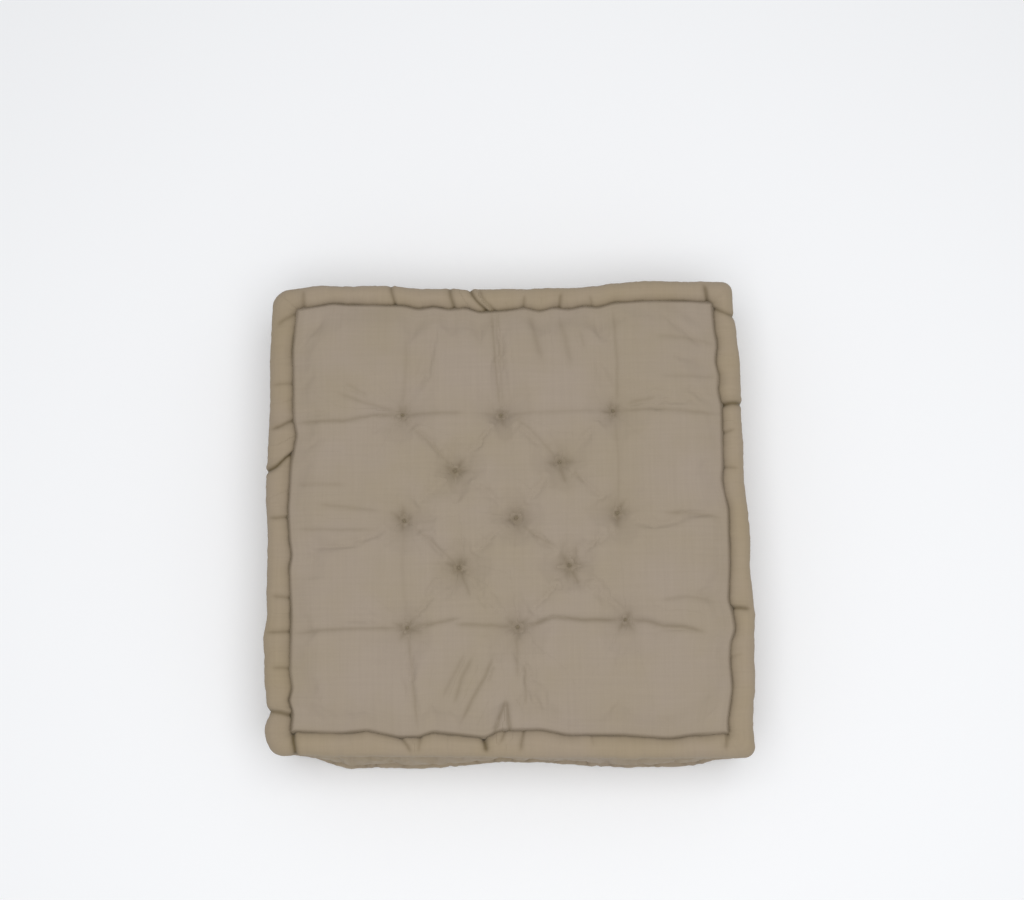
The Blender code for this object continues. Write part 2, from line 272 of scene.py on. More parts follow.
def edge_point(u, half, corner):
    """(along, outwards) on a rounded square's side; u runs from -1 to 1, corner to corner.

    Up to REACH the points of every line lie straight across from each other, and from there they
    fan round the corner.
    """
    straight = 0.904
    a = np.abs(u)
    lead = half - corner - REACH
    run = np.clip((a - straight) / (1 - straight), 0, 1) * (lead + corner * math.pi / 4)
    turn = np.clip((run - lead) / corner, 0, math.pi / 4)
    along = np.minimum(a / straight, 1) * REACH + np.minimum(run, lead) + corner * np.sin(turn)
    return np.sign(u) * along, half - corner * (1 - np.cos(turn))


def to_side(along, outwards, side):
    """Plan position on a side: along runs left to right, or front to back on the left and right."""
    if side == "front":
        return along, -outwards
    if side == "back":
        return along, outwards
    if side == "right":
        return outwards, along
    return -outwards, along


def warp(x, y, inner, outer, share):
    """Moves plan points by the uneven lines; share is 0 at the groove beside the face, 1 at the outline."""
    shift_x, shift_y = 0, 0
    for side in SIDES:
        across, along = (y, x) if side in ("front", "back") else (x, y)
        sign = 1 if side in ("back", "right") else -1
        pull = sign * smooth_step((sign * across - 0.20) / 0.06)
        shift = pull * ((1 - share) * wave(along, inner[side]) + share * wave(along, outer[side]))
        if side in ("front", "back"):
            shift_y = shift_y + shift
        else:
            shift_x = shift_x + shift
    return x + shift_x, y + shift_y


def quads_of(rows, columns, wrap_rows=False, wrap_columns=False):
    """Faces of a grid of points stored row by row."""
    r = np.arange(rows if wrap_rows else rows - 1)
    c = np.arange(columns if wrap_columns else columns - 1)
    r, c = np.meshgrid(r, c, indexing="ij")
    r1, c1 = (r + 1) % rows, (c + 1) % columns
    corners = [r * columns + c, r1 * columns + c, r1 * columns + c1, r * columns + c1]
    return np.stack(corners, -1).reshape(-1, 4)


def new_object(name, data):
    thing = bpy.data.objects.new(name, data)
    bpy.context.scene.collection.objects.link(thing)
    return thing


def new_mesh(name, points, faces, material, cloth=None, shade=None, crease=None):
    """A smooth mesh from arrays, with what its material reads: cloth is each point's place on the flat
    cloth, shade how much painted shade it takes, and crease (widths from the nearest crease, strength),
    which gives each crease its bump and a painted dark line."""
    data = bpy.data.meshes.new(name)
    data.from_pydata(points.tolist(), [], [[k for k in face if k >= 0] for face in faces.tolist()])
    data.materials.append(material)
    data.shade_smooth()
    if cloth is not None:
        spots = data.attributes.new("cloth", "FLOAT_VECTOR", "POINT")
        flat = np.zeros((len(points), 3), np.float32)
        flat[:, : cloth.shape[1]] = cloth
        spots.data.foreach_set("vector", flat.ravel())
    if shade is not None:
        folds = data.attributes.new("shade", "FLOAT", "POINT")
        folds.data.foreach_set("value", np.clip(shade, 0, 1).astype(np.float32).ravel())
    if crease is not None:
        lines = data.attributes.new("crease", "FLOAT_VECTOR", "POINT")
        values = np.zeros((len(points), 3), np.float32)
        values[:, :2] = crease
        lines.data.foreach_set("vector", values.ravel())
    return new_object(name, data)


def grid_normals(grid, wrap=False):
    """Unit normals of a grid of points, as the cross product of its row and column directions."""
    if wrap:
        down = np.roll(grid, -1, 0) - np.roll(grid, 1, 0)
    else:
        down = np.gradient(grid, axis=0)
    across = np.gradient(grid, axis=1)
    normal = np.cross(down, across)
    return normal / np.maximum(np.linalg.norm(normal, axis=-1, keepdims=True), 1e-12)


def twofold(coarse):
    """A grid of values with a new value half-way between each two, on a smooth curve through them."""
    for axis in (0, 1):
        rows = np.moveaxis(coarse, axis, 0)
        padded = np.concatenate([2 * rows[:1] - rows[1:2], rows, 2 * rows[-1:] - rows[-2:-1]])
        between = (9 * (padded[1:-2] + padded[2:-1]) - padded[:-3] - padded[3:]) / 16
        fine = np.empty((2 * len(rows) - 1, *rows.shape[1:]))
        fine[::2] = rows
        fine[1::2] = between
        coarse = np.moveaxis(fine, 0, axis)
    return coarse


def swell(grid, pinned, growth, pressure, most, wrap=False):
    """How each point of a cloth moves when the stuffing pushes it out between its pinned points.

    growth is the share by which the cloth is larger than the space it covers, which makes folds.
    """
    rows, columns = grid.shape[:2]
    data = bpy.data.meshes.new("cloth trial")
    data.from_pydata(grid.reshape(-1, 3).tolist(), [], quads_of(rows, columns, wrap_rows=wrap).tolist())
    trial = new_object("cloth trial", data)
    group = trial.vertex_groups.new(name="pinned")
    group.add(np.flatnonzero(pinned.ravel()).tolist(), 1.0, "REPLACE")
    cloth = trial.modifiers.new("cloth", "CLOTH")
    fabric = cloth.settings
    fabric.quality = 6
    fabric.mass = 0.15
    fabric.tension_stiffness = 20
    fabric.compression_stiffness = 20
    fabric.shear_stiffness = 6
    fabric.bending_stiffness = 0.08
    fabric.shrink_min = -growth
    fabric.vertex_group_mass = "pinned"
    fabric.use_pressure = True
    fabric.uniform_pressure_force = pressure
    fabric.use_pressure_volume = True
    fabric.target_volume = 0
    fabric.effector_weights.gravity = 0
    cloth.point_cache.frame_start = 1
    cloth.point_cache.frame_end = SWELL_FRAMES
    for number in range(1, SWELL_FRAMES + 1):
        bpy.context.scene.frame_set(number)
    settled = trial.evaluated_get(bpy.context.evaluated_depsgraph_get()).data
    places = np.empty(rows * columns * 3, np.float32)
    settled.vertices.foreach_get("co", places)
    moved = places.reshape(grid.shape) - grid
    bpy.data.objects.remove(trial)
    bpy.data.meshes.remove(data)
    bpy.context.scene.frame_set(1)
    reach = np.linalg.norm(moved, axis=-1, keepdims=True)
    return moved * np.minimum(1, most / np.maximum(reach, 1e-9))


# ---- Face panels ----

def along_line(x, y, points):
    """Signed distance from a line through the points, and the share of its length passed, at (x, y)."""
    points = np.array(points)
    steps = np.diff(points, axis=0)
    lengths = np.linalg.norm(steps, axis=1)
    total, start = lengths.sum(), 0
    nearest = np.full(x.shape, 9.0)
    signed = np.full(x.shape, 9.0)
    place = np.zeros(x.shape)
    for (px, py), step, length in zip(points, steps, lengths):
        t = np.clip(((x - px) * step[0] + (y - py) * step[1]) / length**2, 0, 1)
        d = np.hypot(x - px - t * step[0], y - py - t * step[1])
        side = np.sign((x - px) * step[1] - (y - py) * step[0])
        closer = d < nearest
        nearest = np.where(closer, d, nearest)
        signed = np.where(closer, d * side, signed)
        place = np.where(closer, (start + t * length) / total, place)
        start += length
    return signed, place


class Creases:
    """The creases of one panel, gathered line by line: how far they sink the cloth, the painted shade down
    them, and what its material needs to paint each as a fine dark line."""

    def __init__(self, x, y):
        self.x, self.y = x, y
        self.fold = np.zeros(x.shape)
        self.lips = np.zeros(x.shape)
        self.shade = np.zeros(x.shape)
        self.strongest = np.zeros(x.shape)
        self.widths = np.full(x.shape, 9.0)
        self.strength = np.zeros(x.shape)

    def add(self, points, deep, wide, from_tuft=False):
        signed, place = along_line(self.x, self.y, points)
        if from_tuft:
            ends = smooth_step((1 - place) / 0.9)
            raised = smooth_step((place - 0.25) / 0.4)
        else:
            ends = 0.15 + 0.85 * smooth_step(place / 0.2) * smooth_step((1 - place) / 0.2)
            raised = smooth_step(place / 0.1)
        d = signed / (wide * MM)
        self.fold = np.maximum(self.fold, deep * MM * ends * np.exp(-np.abs(d / 1.25) ** 1.7))
        self.lips += 0.28 * deep * MM * ends * raised * np.exp(-((np.abs(d) - 2.6) ** 2) / 1.4)
        # Painted shade down the crease
        self.shade = np.maximum(self.shade, 0.10 * deep * ends * hump(d, 2.2))
        pull = deep * ends * np.exp(-np.abs(d) / 2)
        wins = pull > self.strongest
        self.strongest = np.where(wins, pull, self.strongest)
        self.widths = np.where(wins, d, self.widths)
        self.strength = np.where(wins, deep * ends, self.strength)


def tuft_star(centre, seed):
    """Short folds that run out from a tuft, as (points, depth, width) creases."""
    rng = np.random.default_rng(seed)
    rays = rng.integers(6, 9)
    folds = []
    for angle in np.arange(rays) * 2 * math.pi / rays + rng.uniform(-0.35, 0.35, rays):
        long = rng.uniform(0.010, 0.027)
        bend = angle + rng.uniform(-0.25, 0.25)
        middle = (centre[0] + 0.5 * long * math.cos(angle), centre[1] + 0.5 * long * math.sin(angle))
        tip = (middle[0] + 0.5 * long * math.cos(bend), middle[1] + 0.5 * long * math.sin(bend))
        folds.append(([centre, middle, tip], rng.uniform(0.6, 1.4), rng.uniform(1.8, 2.8)))
    return folds


def face_lines():
    """Grid lines of a panel from edge to edge, closer together in the last 12 mm."""
    fine = np.linspace(RIM - 0.012, RIM, 13)[1:]
    middle = np.linspace(-(RIM - 0.012), RIM - 0.012, 261)
    return np.concatenate([-fine[::-1], middle, fine])


def panel_plan(lines, edges, whole):
    """Plan positions of a panel's grid, flat and with its edges following the uneven grooves."""
    flat_x, flat_y = np.meshgrid(lines, lines, indexing="ij")
    x, y = warp(flat_x, flat_y, edges, edges, 0)
    x, y = warp(x, y, whole, whole, 0)
    return flat_x, flat_y, x, y


def panel_body(flat_x, flat_y, x, y, tufts, seed):
    """Depth below the crest of the plain stuffed face, with its tufts pulled in and no folds."""
    inset = RIM - np.maximum(np.abs(flat_x), np.abs(flat_y))
    steep = smooth_step((inset + 0.0005) / 0.0070) * EDGE_STEP
    depth = EDGE_DEPTH - (steep + EDGE_DOME * (1 - np.exp(-inset / 0.026)))
    depth = depth - 0.0016 * soft_noise(x / 0.09 + 7, y / 0.09 + 3, seed) * smooth_step(inset / 0.05)
    depth = depth - 0.0005 * soft_noise(x / 0.031, y / 0.034, seed + 1) * smooth_step(inset / 0.02)
    for i, a in enumerate(tufts):
        for b in tufts[i + 1:]:
            if math.dist(a, b) < 1.12 * PITCH:
                signed, _ = along_line(x, y, [a, b])
                depth = depth + 0.0012 * hump(signed, 0.014)
    for a in tufts:
        r = away(x, y, a)
        depth = depth + TUFT_DIMPLE[0] * hump(r, TUFT_DIMPLE[1])
        depth = depth + TUFT_FUNNEL[0] * np.exp(-r / TUFT_FUNNEL[1])
        middle = hump(r, 0.0032)
        depth = depth * (1 - middle) + TUFT_DEPTH * middle
    return depth


def groove_painted_shade(x, y, way):
    """The painted shade of the stitched groove along its way round. It nearly fades out at the back left
    corner, and is darkest near the front left one."""
    uneven_shade = 0.34 + 0.18 * soft_noise(x / 0.028 + 20, y / 0.028 + 20, 50 + way)
    faded = 0.75 * hump(away(x, y, (-0.262, 0.262)), 0.024)
    darkest = 0.30 * hump(away(x, y, (-0.268, -0.245)), 0.035)
    return uneven_shade * (1 - faded) + darkest


def gathers(along, seed):
    """Fine uneven puckers that stitching leaves across a seam, from -1 to 1."""
    fine = soft_noise(along / 0.0065 + 60, 0.5 + 0 * along, seed)
    return 0.6 * fine + 0.4 * soft_noise(along / 0.015 + 60, 3.5 + 0 * along, seed)


def close_panel(front, cloth, shade, crease, way, material, name):
    """A cloth panel with its real thickness: a fine outer face, and a coarser inner face behind it."""
    n = len(front)
    normals = grid_normals(front) * way
    back = (front - normals * CLOTH)[::4, ::4]
    m = len(back)
    faces = quads_of(n, n)
    behind = quads_of(m, m)[:, ::-1] + n * n
    index = np.arange(n * n).reshape(n, n)
    index_back = np.arange(m * m).reshape(m, m) + n * n
    rims = [(index[:, 0], index_back[:, 0]), (index[-1], index_back[-1]),
            (index[::-1, -1], index_back[::-1, -1]), (index[0, ::-1], index_back[0, ::-1])]
    edge = []
    for outer, inner in rims:
        for k in range(m - 1):
            o = outer[4 * k: 4 * k + 5]
            a, b = inner[k], inner[k + 1]
            for face in ((o[1], o[0], a), (o[2], o[1], a), (o[2], a, b), (o[3], o[2], b), (o[4], o[3], b)):
                edge.append([*face, -1])
    edge = np.array(edge)
    faces = np.concatenate([faces, behind, edge])
    if way < 0:
        faces = np.where(faces[:, 3:] < 0, faces[:, [2, 1, 0, 3]], faces[:, ::-1])
    points = np.concatenate([front.reshape(-1, 3), back.reshape(-1, 3)])
    cloth = np.concatenate([cloth.reshape(-1, 2), cloth[::4, ::4].reshape(-1, 2)])
    shade = np.concatenate([shade.ravel(), shade[::4, ::4].ravel()])
    crease = np.concatenate([crease.reshape(-1, 2), crease[::4, ::4].reshape(-1, 2)])
    return new_mesh(name, points, faces, material, cloth, shade, crease)


def swollen_face(body, inset, tufts):
    """The face after the cloth simulation, whose movement fades out at the edges and close to the tufts."""
    coarse = body[::2, ::2]
    pinned = np.zeros(coarse.shape[:2], bool)
    pinned[[0, -1]] = True
    pinned[:, [0, -1]] = True
    free = smooth_step((inset - 0.003) / 0.040)
    for tuft in tufts:
        pinned |= away(coarse[..., 0], coarse[..., 1], tuft) < 0.0035
        free = free * (1 - hump(away(body[..., 0], body[..., 1], tuft), 0.010))
    moved = twofold(swell(coarse, pinned, 0.020, 2.0, 0.0040))
    return body + moved * free[..., None]


def face_folds(x, y, tufts, creases, seed):
    """All the folds of a face, and the painted shade in each tuft's hollow."""
    folds = Creases(x, y)
    tuft_shade = np.zeros(x.shape)
    for k, tuft in enumerate(tufts):
        for fold in tuft_star(tuft, seed + 10 + k):
            folds.add(*fold, from_tuft=True)
        r = away(x, y, tuft)
        # Painted shade round the tuft, darkest in its middle
        tuft_shade += 0.08 * hump(r, 0.0070) + 0.11 * hump(r, 0.018)
    for fold in creases:
        folds.add(*fold)
    return folds, tuft_shade


def rim_puckers(flat_x, flat_y, seed):
    """How far the stitches of the groove sink the cloth beside them."""
    sink = 0
    for k, (across, along) in enumerate(((flat_x, flat_y), (flat_y, flat_x))):
        near = RIM - np.abs(across)
        strength = np.exp(-near / 0.010) * smooth_step(near / 0.005)
        sink = sink + 0.0005 * strength * gathers(along, seed + 50 + k)
    return sink


def face_panel(name, way, tufts, creases, edges, whole, seed, material):
    """One face of the cover: stuffed, tufted and creased."""
    flat_x, flat_y, x, y = panel_plan(face_lines(), edges, whole)
    inset = RIM - np.maximum(np.abs(flat_x), np.abs(flat_y))
    depth = panel_body(flat_x, flat_y, x, y, tufts, seed)
    body = swollen_face(np.stack([x, y, -depth], -1), inset, tufts)
    folds, tuft_shade = face_folds(x, y, tufts, creases, seed)
    # Painted shade along the groove, fading out across the face
    seam_painted_shade = 1.2 * groove_painted_shade(x, y, way) * (1 - smooth_step((inset - 0.0015) / 0.0045))
    # All the painted shade of the face: round the tufts, down the creases and along the groove
    shade = tuft_shade + folds.shade + seam_painted_shade
    body[..., 2] -= folds.fold - folds.lips + rim_puckers(flat_x, flat_y, seed)
    body[..., 2] = THICK + body[..., 2] if way > 0 else np.maximum(-body[..., 2], 0.0003)
    cloth = np.stack([flat_x, flat_y], -1)
    crease = np.stack([folds.widths, folds.strength], -1)
    return close_panel(body, cloth, shade, crease, way, material, name)


# ---- Rolled edges ----

def pleat_field(along, q, pleats):
    """(Depth, widths from the nearest pleat, strength) on the roll; q runs from -1 inside to 1 outside."""
    depth, strongest, strength = (np.zeros(along.shape) for _ in range(3))
    widths = np.full(along.shape, 9.0)
    for place, slant, deep, wide, reach in pleats:
        t = (q + 1) / 2
        bow = 0.22 * slant * np.sin(math.pi * t) + 1.2 * np.sin(place) * t
        d = (along - (place + slant * t + bow) * MM) / (wide * MM)
        fade = smooth_step((reach - t) / 0.35) * deep
        depth += MM * fade * (np.exp(-np.abs(d / 1.2) ** 1.6) - 0.38 * np.exp(-((d - 2.5) ** 2) / 1.8))
        pull = fade * np.exp(-np.abs(d) / 2)
        wins = pull > strongest
        strongest = np.where(wins, pull, strongest)
        widths = np.where(wins, d, widths)
        strength = np.where(wins, fade, strength)
    return depth, widths, strength


def random_pleats(seed, count):
    rng = np.random.default_rng(seed)
    places = np.linspace(-240, 240, count) + rng.uniform(-16, 16, count)
    return [(place, rng.uniform(-16, 16), rng.uniform(0.8, 2.4), rng.uniform(1.8, 2.8), rng.uniform(0.6, 1.4))
            for place in places]


def roll_swelling(ring_place, q, rise, seed):
    """Soft lumps of a roll's wadding."""
    swelling = 0
    for finer, high in ((1, 0.0007), (3, 0.00045), (7, 0.00030)):
        over = soft_noise(ring_place * finer, 3 + 1.2 * q, seed + finer, wrap=96 * finer)
        beside = soft_noise(ring_place * finer, 9 + 1.2 * rise, seed + finer, wrap=96 * finer)
        swelling = swelling + high * (over + beside) / 1.4
    return swelling


def roll_folds(along, q, rise, pleats, seed):
    """The given pleats over the top of a roll and random ones on its outer side, like pleat_field."""
    upper = np.clip(rise + 0.6, 0, 1)
    fold, widths, strength = pleat_field(along, q, pleats)
    fold, strength = fold * (0.25 + 0.75 * upper), strength * upper
    below = pleat_field(along, rise, random_pleats(seed, 30))
    outside = 0.65 * smooth_step((q + 0.3) / 0.6) * smooth_step((0.25 - rise) / 0.6)
    fold = fold + below[0] * outside
    nearer = below[2] * outside * np.exp(-np.abs(below[1]) / 2) > strength * np.exp(-np.abs(widths) / 2)
    widths = np.where(nearer, below[1], widths)
    strength = np.where(nearer, below[2] * outside, strength)
    return fold, widths, strength


def roll_puckers(along, q, turn, seed):
    """Puckers at a roll's two rows of stitches: in the groove, and under the roll."""
    under = hump(turn / math.pi - 1.66, 0.16)
    beside_face = np.exp(-((q + 1) / 0.35)) * gathers(along, seed + 5) * 0.0004
    return beside_face + under * gathers(along + 0.7 * MM * turn, seed + 15) * 0.0008


def rolled_edge(name, way, inner, outer, whole, pleats, seed, material):
    """One roll round the whole cushion: a plump tube whose edges wander and whose cloth is pleated."""
    per_side, girth = 290, 44
    turn = np.linspace(0, 2 * math.pi, girth, endpoint=False)[None, :]
    q, rise = np.cos(turn), np.sin(turn)
    rise = np.sign(rise) * np.abs(rise) ** 0.85
    points, cloths, shades, creases = [], [], [], []
    for number, side in enumerate(SIDES):
        u = np.linspace(-1, 1, per_side, endpoint=False)[:, None]
        if side in ("back", "left"):
            u = -u
        half = (EDGE + GROOVE) / 2 + q * (EDGE - GROOVE) / 2
        on_left = (1 - to_side(np.sign(u), 1, side)[0]) / 2
        corner = ROLL_CORNER + q * ROLL_CORNER_SPREAD + LEFT_CORNER_EXTRA * on_left * (1 + q) / 2
        along, outwards = edge_point(u, half, corner)
        ring_place = (number + np.arange(per_side)[:, None] / per_side) * 24
        fold, widths, strength = roll_folds(along, q, rise, pleats[side], seed + 40 + number)
        puckers = roll_puckers(along, q, turn, seed + number)
        push = roll_swelling(ring_place, q, rise, seed) + puckers - fold
        knob = 0.0014 * smooth_step((np.abs(along) - 0.262) / 0.02)
        lift = ROLL_LIFT - (ROLL_HALF_HEIGHT + knob + push) * rise
        x, y = to_side(along, outwards + push * q, side)
        x, y = warp(x, y, inner, outer, (q + 1) / 2)
        x, y = warp(x, y, whole, whole, 0)
        points.append(np.stack([x, y, lift], -1))
        cloths.append(np.stack([number * 0.6 + along, 0.0145 * turn + 0 * along], -1))
        # Painted shade along the groove, on the roll's inner side
        groove = smooth_step((-q - 0.78) / 0.20) * (rise > -0.3) * groove_painted_shade(x, y, way)
        # Painted shade: the rolls on the left side a little darker
        left_painted_shade = 0.05 * smooth_step((-x - 0.24) / 0.03)
        # Painted shade down the pleats
        pleat_painted_shade = 0.10 * strength * hump(widths, 2.5)
        # Painted shade: the roll's inner half, towards the groove, a little darker
        shades.append(pleat_painted_shade + groove + 0.05 * (1 - q) / 2 + left_painted_shade)
        creases.append(np.stack([widths, strength], -1))
    points = np.concatenate(points)
    lift = points[..., 2]
    points[..., 2] = THICK - lift if way > 0 else np.maximum(lift, LEAST_LIFT)
    faces = quads_of(len(points), girth, wrap_rows=True, wrap_columns=True)
    if way < 0:
        faces = faces[:, ::-1]
    cloth = np.concatenate(cloths).reshape(-1, 2)
    crease = np.concatenate(creases).reshape(-1, 2)
    return new_mesh(name, points.reshape(-1, 3), faces, material, cloth, np.concatenate(shades), crease)


# ---- Side walls ----

def wall_body(per_side, height):
    """The plain stuffed wall all round, as a grid of (round, up) points, with what its folds need."""
    v = np.linspace(-1, 1, height)[None, :]
    points, places = [], []
    for side in SIDES:
        u = np.linspace(-1, 1, per_side, endpoint=False)[:, None]
        if side in ("back", "left"):
            u = -u
        along, outwards = edge_point(u, WAIST + 0 * v, np.full(v.shape, WALL_CORNER))
        corner = hump(np.abs(u) - 1, 0.010)
        full = smooth_step((0.300 - np.abs(along)) / 0.05) * 0.5 + 0.5
        belly = WALL_BELLY * (1 - np.abs(v) ** 3) * full
        x, y = to_side(along, outwards + belly - 0.0010 * corner, side)
        x, y = warp(x, y, OUTER_LINE, LOWER_LINE, smooth_step((0.9 - v) / 1.6))
        points.append(np.stack([x, y, THICK / 2 + v * WALL_HALF_HEIGHT + 0 * x], -1))
        places.append(along + 0 * v)
    return np.concatenate(points), np.concatenate(places), v


def swollen_walls(grid):
    """The walls after the cloth simulation, held along their seams and at every stitch."""
    coarse = grid[::2, ::2]
    pinned = np.zeros(coarse.shape[:2], bool)
    pinned[:, [0, -1]] = True
    pinned[::4, [2, -3]] = True
    moved = swell(coarse, pinned, 0.035, 2.0, 0.005, wrap=True)
    moved = np.concatenate([moved, moved[:1]])
    return grid + twofold(moved)[:-1]


def wall_gathers(place, v):
    """Gathers that run in from both rows of stitches: how deep they are, and the painted shade down them."""
    rng = np.random.default_rng(77)
    folds, shade = np.zeros((2, len(place), v.size))
    for centre in np.arange(0.01, 2.4, 0.021):
        centre = centre + rng.uniform(-0.006, 0.006)
        for way in (-1, 1):
            inwards = (1 - way * v) / 2
            run = rng.uniform(0.2, 0.7)
            wide = rng.uniform(1.4, 2.6) * MM * (1 + 1.2 * inwards)
            d = (place - centre - rng.uniform(-0.020, 0.020) * inwards) / wide
            line, lip = hump(d, 1), hump(d - 2.2, 1)
            deep = rng.uniform(0.2, 1.0) * hump(inwards, run)
            folds += deep * MM * (line - 0.35 * lip)
            # Painted shade down the gather
            shade += 0.25 * deep * line
    return folds, shade


def side_walls(material):
    """The four strips of the cover between the rolls, swollen between their stitches."""
    per_side, height = 240, 41
    grid, along, v = wall_body(per_side, height)
    grid = swollen_walls(grid)
    place = np.arange(4 * per_side)[:, None] / per_side * 0.6
    folds, shade = wall_gathers(place, v)
    lumps = 0.0010 * soft_noise(place / 0.06 + 0.3, v * 0.8 + 5, 78, wrap=40) * (1 - v**4)
    grid = grid + grid_normals(grid, wrap=True) * (lumps - folds)[..., None]
    # Painted shade along the top and bottom of the walls, by the stitch rows under the rolls
    shade += 0.5 * smooth_step((np.abs(v) - 0.86) / 0.1)
    walls = {}
    for number, side in enumerate(SIDES):
        strip = np.arange(number * per_side, (number + 1) * per_side + 1) % (4 * per_side)
        cloth = np.stack([along[strip], grid[strip, :, 2]], -1)
        cloth[-1, :, 0] = -along[strip][0]
        cloth = cloth.reshape(-1, 2)
        points = grid[strip].reshape(-1, 3)
        faces = quads_of(per_side + 1, height)
        wall = new_mesh(f"side_cover_{side}", points, faces, material, cloth, shade[strip])
        solidify = wall.modifiers.new("cloth thickness", "SOLIDIFY")
        solidify.thickness = CLOTH
        solidify.offset = -1
        walls[side] = wall
    return walls


# ---- Filling, twine and stitches ----

def filling(top_tufts, bottom_tufts, material):
    """The stuffing that the cover is stretched over: a little inside the panels and the walls."""
    lines = np.linspace(-(RIM - 0.012), RIM - 0.012, 105)
    still = uneven(0, 0)
    flat_x, flat_y, x, y = panel_plan(lines, still, still)
    depths = []
    for tufts, seed in ((top_tufts, 11), (bottom_tufts, 91)):
        depth = panel_body(flat_x, flat_y, x, y, tufts, seed) + FILLING_GAP
        for tuft in tufts:
            depth = depth + 0.0030 * hump(away(x, y, tuft), 0.008)
        depths.append(depth)
    upper = np.stack([x, y, THICK - depths[0]], -1)
    lower = np.stack([x, y, depths[1]], -1)
    n = len(upper)
    index = np.arange(n * n).reshape(n, n)
    ring = np.concatenate([index[:-1, 0], index[-1, :-1], index[:0:-1, -1], index[0, :0:-1]])
    rim_top, rim_bottom = upper.reshape(-1, 3)[ring], lower.reshape(-1, 3)[ring]
    levels = np.linspace(0, 1, 11)[1:-1]
    body = []
    for level in levels:
        row = rim_top + (rim_bottom - rim_top) * level
        square = np.abs(row[:, :2])
        corner = smooth_step((square.min(1) / square.max(1) - 0.80) / 0.20)[:, None]
        out = smooth_step((min(level, 1 - level) - 0.08) / 0.22)
        row[:, :2] *= 1 + 0.080 * out * (1 - 0.9 * corner)
        body.append(row)
    points = np.concatenate([upper.reshape(-1, 3), lower.reshape(-1, 3), *body])
    between = [2 * n * n + k * len(ring) + np.arange(len(ring)) for k in range(len(levels))]
    rings = [ring, *between, ring + n * n]
    sides = [np.stack([a, b, np.roll(b, -1), np.roll(a, -1)], -1) for a, b in zip(rings, rings[1:])]
    faces = np.concatenate([quads_of(n, n), quads_of(n, n)[:, ::-1] + n * n, *sides])
    return new_mesh("cushion_filling", points, faces, material)


def tube(path, radius, sides=8, blunt=True):
    """Points and faces of a closed tube along a path, with its ends rounded off."""
    path = np.asarray(path, float)
    count = len(path)
    ahead = np.gradient(path, axis=0)
    ahead /= np.linalg.norm(ahead, axis=1, keepdims=True)
    helper = np.array([0.0, 0.0, 1.0]) if abs(ahead[0, 2]) < 0.9 else np.array([1.0, 0.0, 0.0])
    aside = np.cross(ahead, helper)
    aside /= np.linalg.norm(aside, axis=1, keepdims=True)
    above = np.cross(aside, ahead)
    angle = np.linspace(0, 2 * math.pi, sides, endpoint=False)
    size = np.full(count, radius)
    if blunt:
        size[[0, -1]] *= 0.55
    ring = np.cos(angle)[None, :, None] * aside[:, None] + np.sin(angle)[None, :, None] * above[:, None]
    points = (path[:, None] + ring * size[:, None, None]).reshape(-1, 3)
    points = np.concatenate([points, path[:1], path[-1:]])
    faces = quads_of(count, sides, wrap_columns=True)
    k = np.arange(sides)
    tip = np.full(sides, count * sides)
    no_corner = np.full(sides, -1)
    start = np.stack([tip, k, (k + 1) % sides, no_corner], -1)
    last = (count - 1) * sides
    end = np.stack([tip + 1, last + (k + 1) % sides, last + k, no_corner], -1)
    return points, np.concatenate([faces, start, end])


def join_tubes(name, tubes, material):
    """One object from several tubes."""
    points, faces, done = [], [], 0
    for p, f in tubes:
        points.append(p)
        faces.append(np.where(f < 0, -1, f + done))
        done += len(p)
    return new_mesh(name, np.concatenate(points), np.concatenate(faces), material)


def running_stitches(name, half, lift, edges, bury, thick, material):
    """A row of hand stitches all round at one height, each bedded in the cloth at its two ends.

    bury is how far each stitch's ends go in: outwards and upwards.
    """
    tubes = []
    t = np.linspace(-1, 1, 7)
    for side in SIDES:
        for place in np.arange(-STITCH_ROW, STITCH_ROW + 0.001, STITCH_STEP):
            along = place + t * STITCH_LONG / 2
            x, y = to_side(along, half + bury[0] * t**4, side)
            x, y = warp(x, y, edges, edges, 0)
            tubes.append(tube(np.stack([x, y, lift + bury[1] * t**4], -1), thick))
    return join_tubes(name, tubes, material)


def tuft_twine(number, upper, lower, material):
    """One tuft: twine straight through the stuffing, with a small knot pulled tight at each end."""
    top = np.array([*upper, THICK - TUFT_DEPTH])
    bottom = np.array([*lower, TUFT_DEPTH])
    tubes = [tube([bottom + (top - bottom) * t for t in np.linspace(0, 1, 6)], 0.0011)]
    turn = np.linspace(0, 2 * math.pi, 40) + number
    out = KNOT_TURN * (2 + np.cos(3 * turn))
    knot = np.stack([out * np.cos(2 * turn), out * np.sin(2 * turn), KNOT_TURN * np.sin(3 * turn)], -1)
    for end, way in ((top, 1), (bottom, -1)):
        tubes.append(tube(end + (0, 0, way * 0.0006) + knot, 0.0005, blunt=False))
    return join_tubes(f"tuft_twine_{number:02d}", tubes, material)


# ---- Materials ----

def linear(red, green, blue):
    """A display colour, from 0 to 255, as scene-linear values."""
    out = []
    for value in (red, green, blue):
        share = value / 255
        out.append(share / 12.92 if share <= 0.04045 else ((share + 0.055) / 1.055) ** 2.4)
    return (*out, 1)


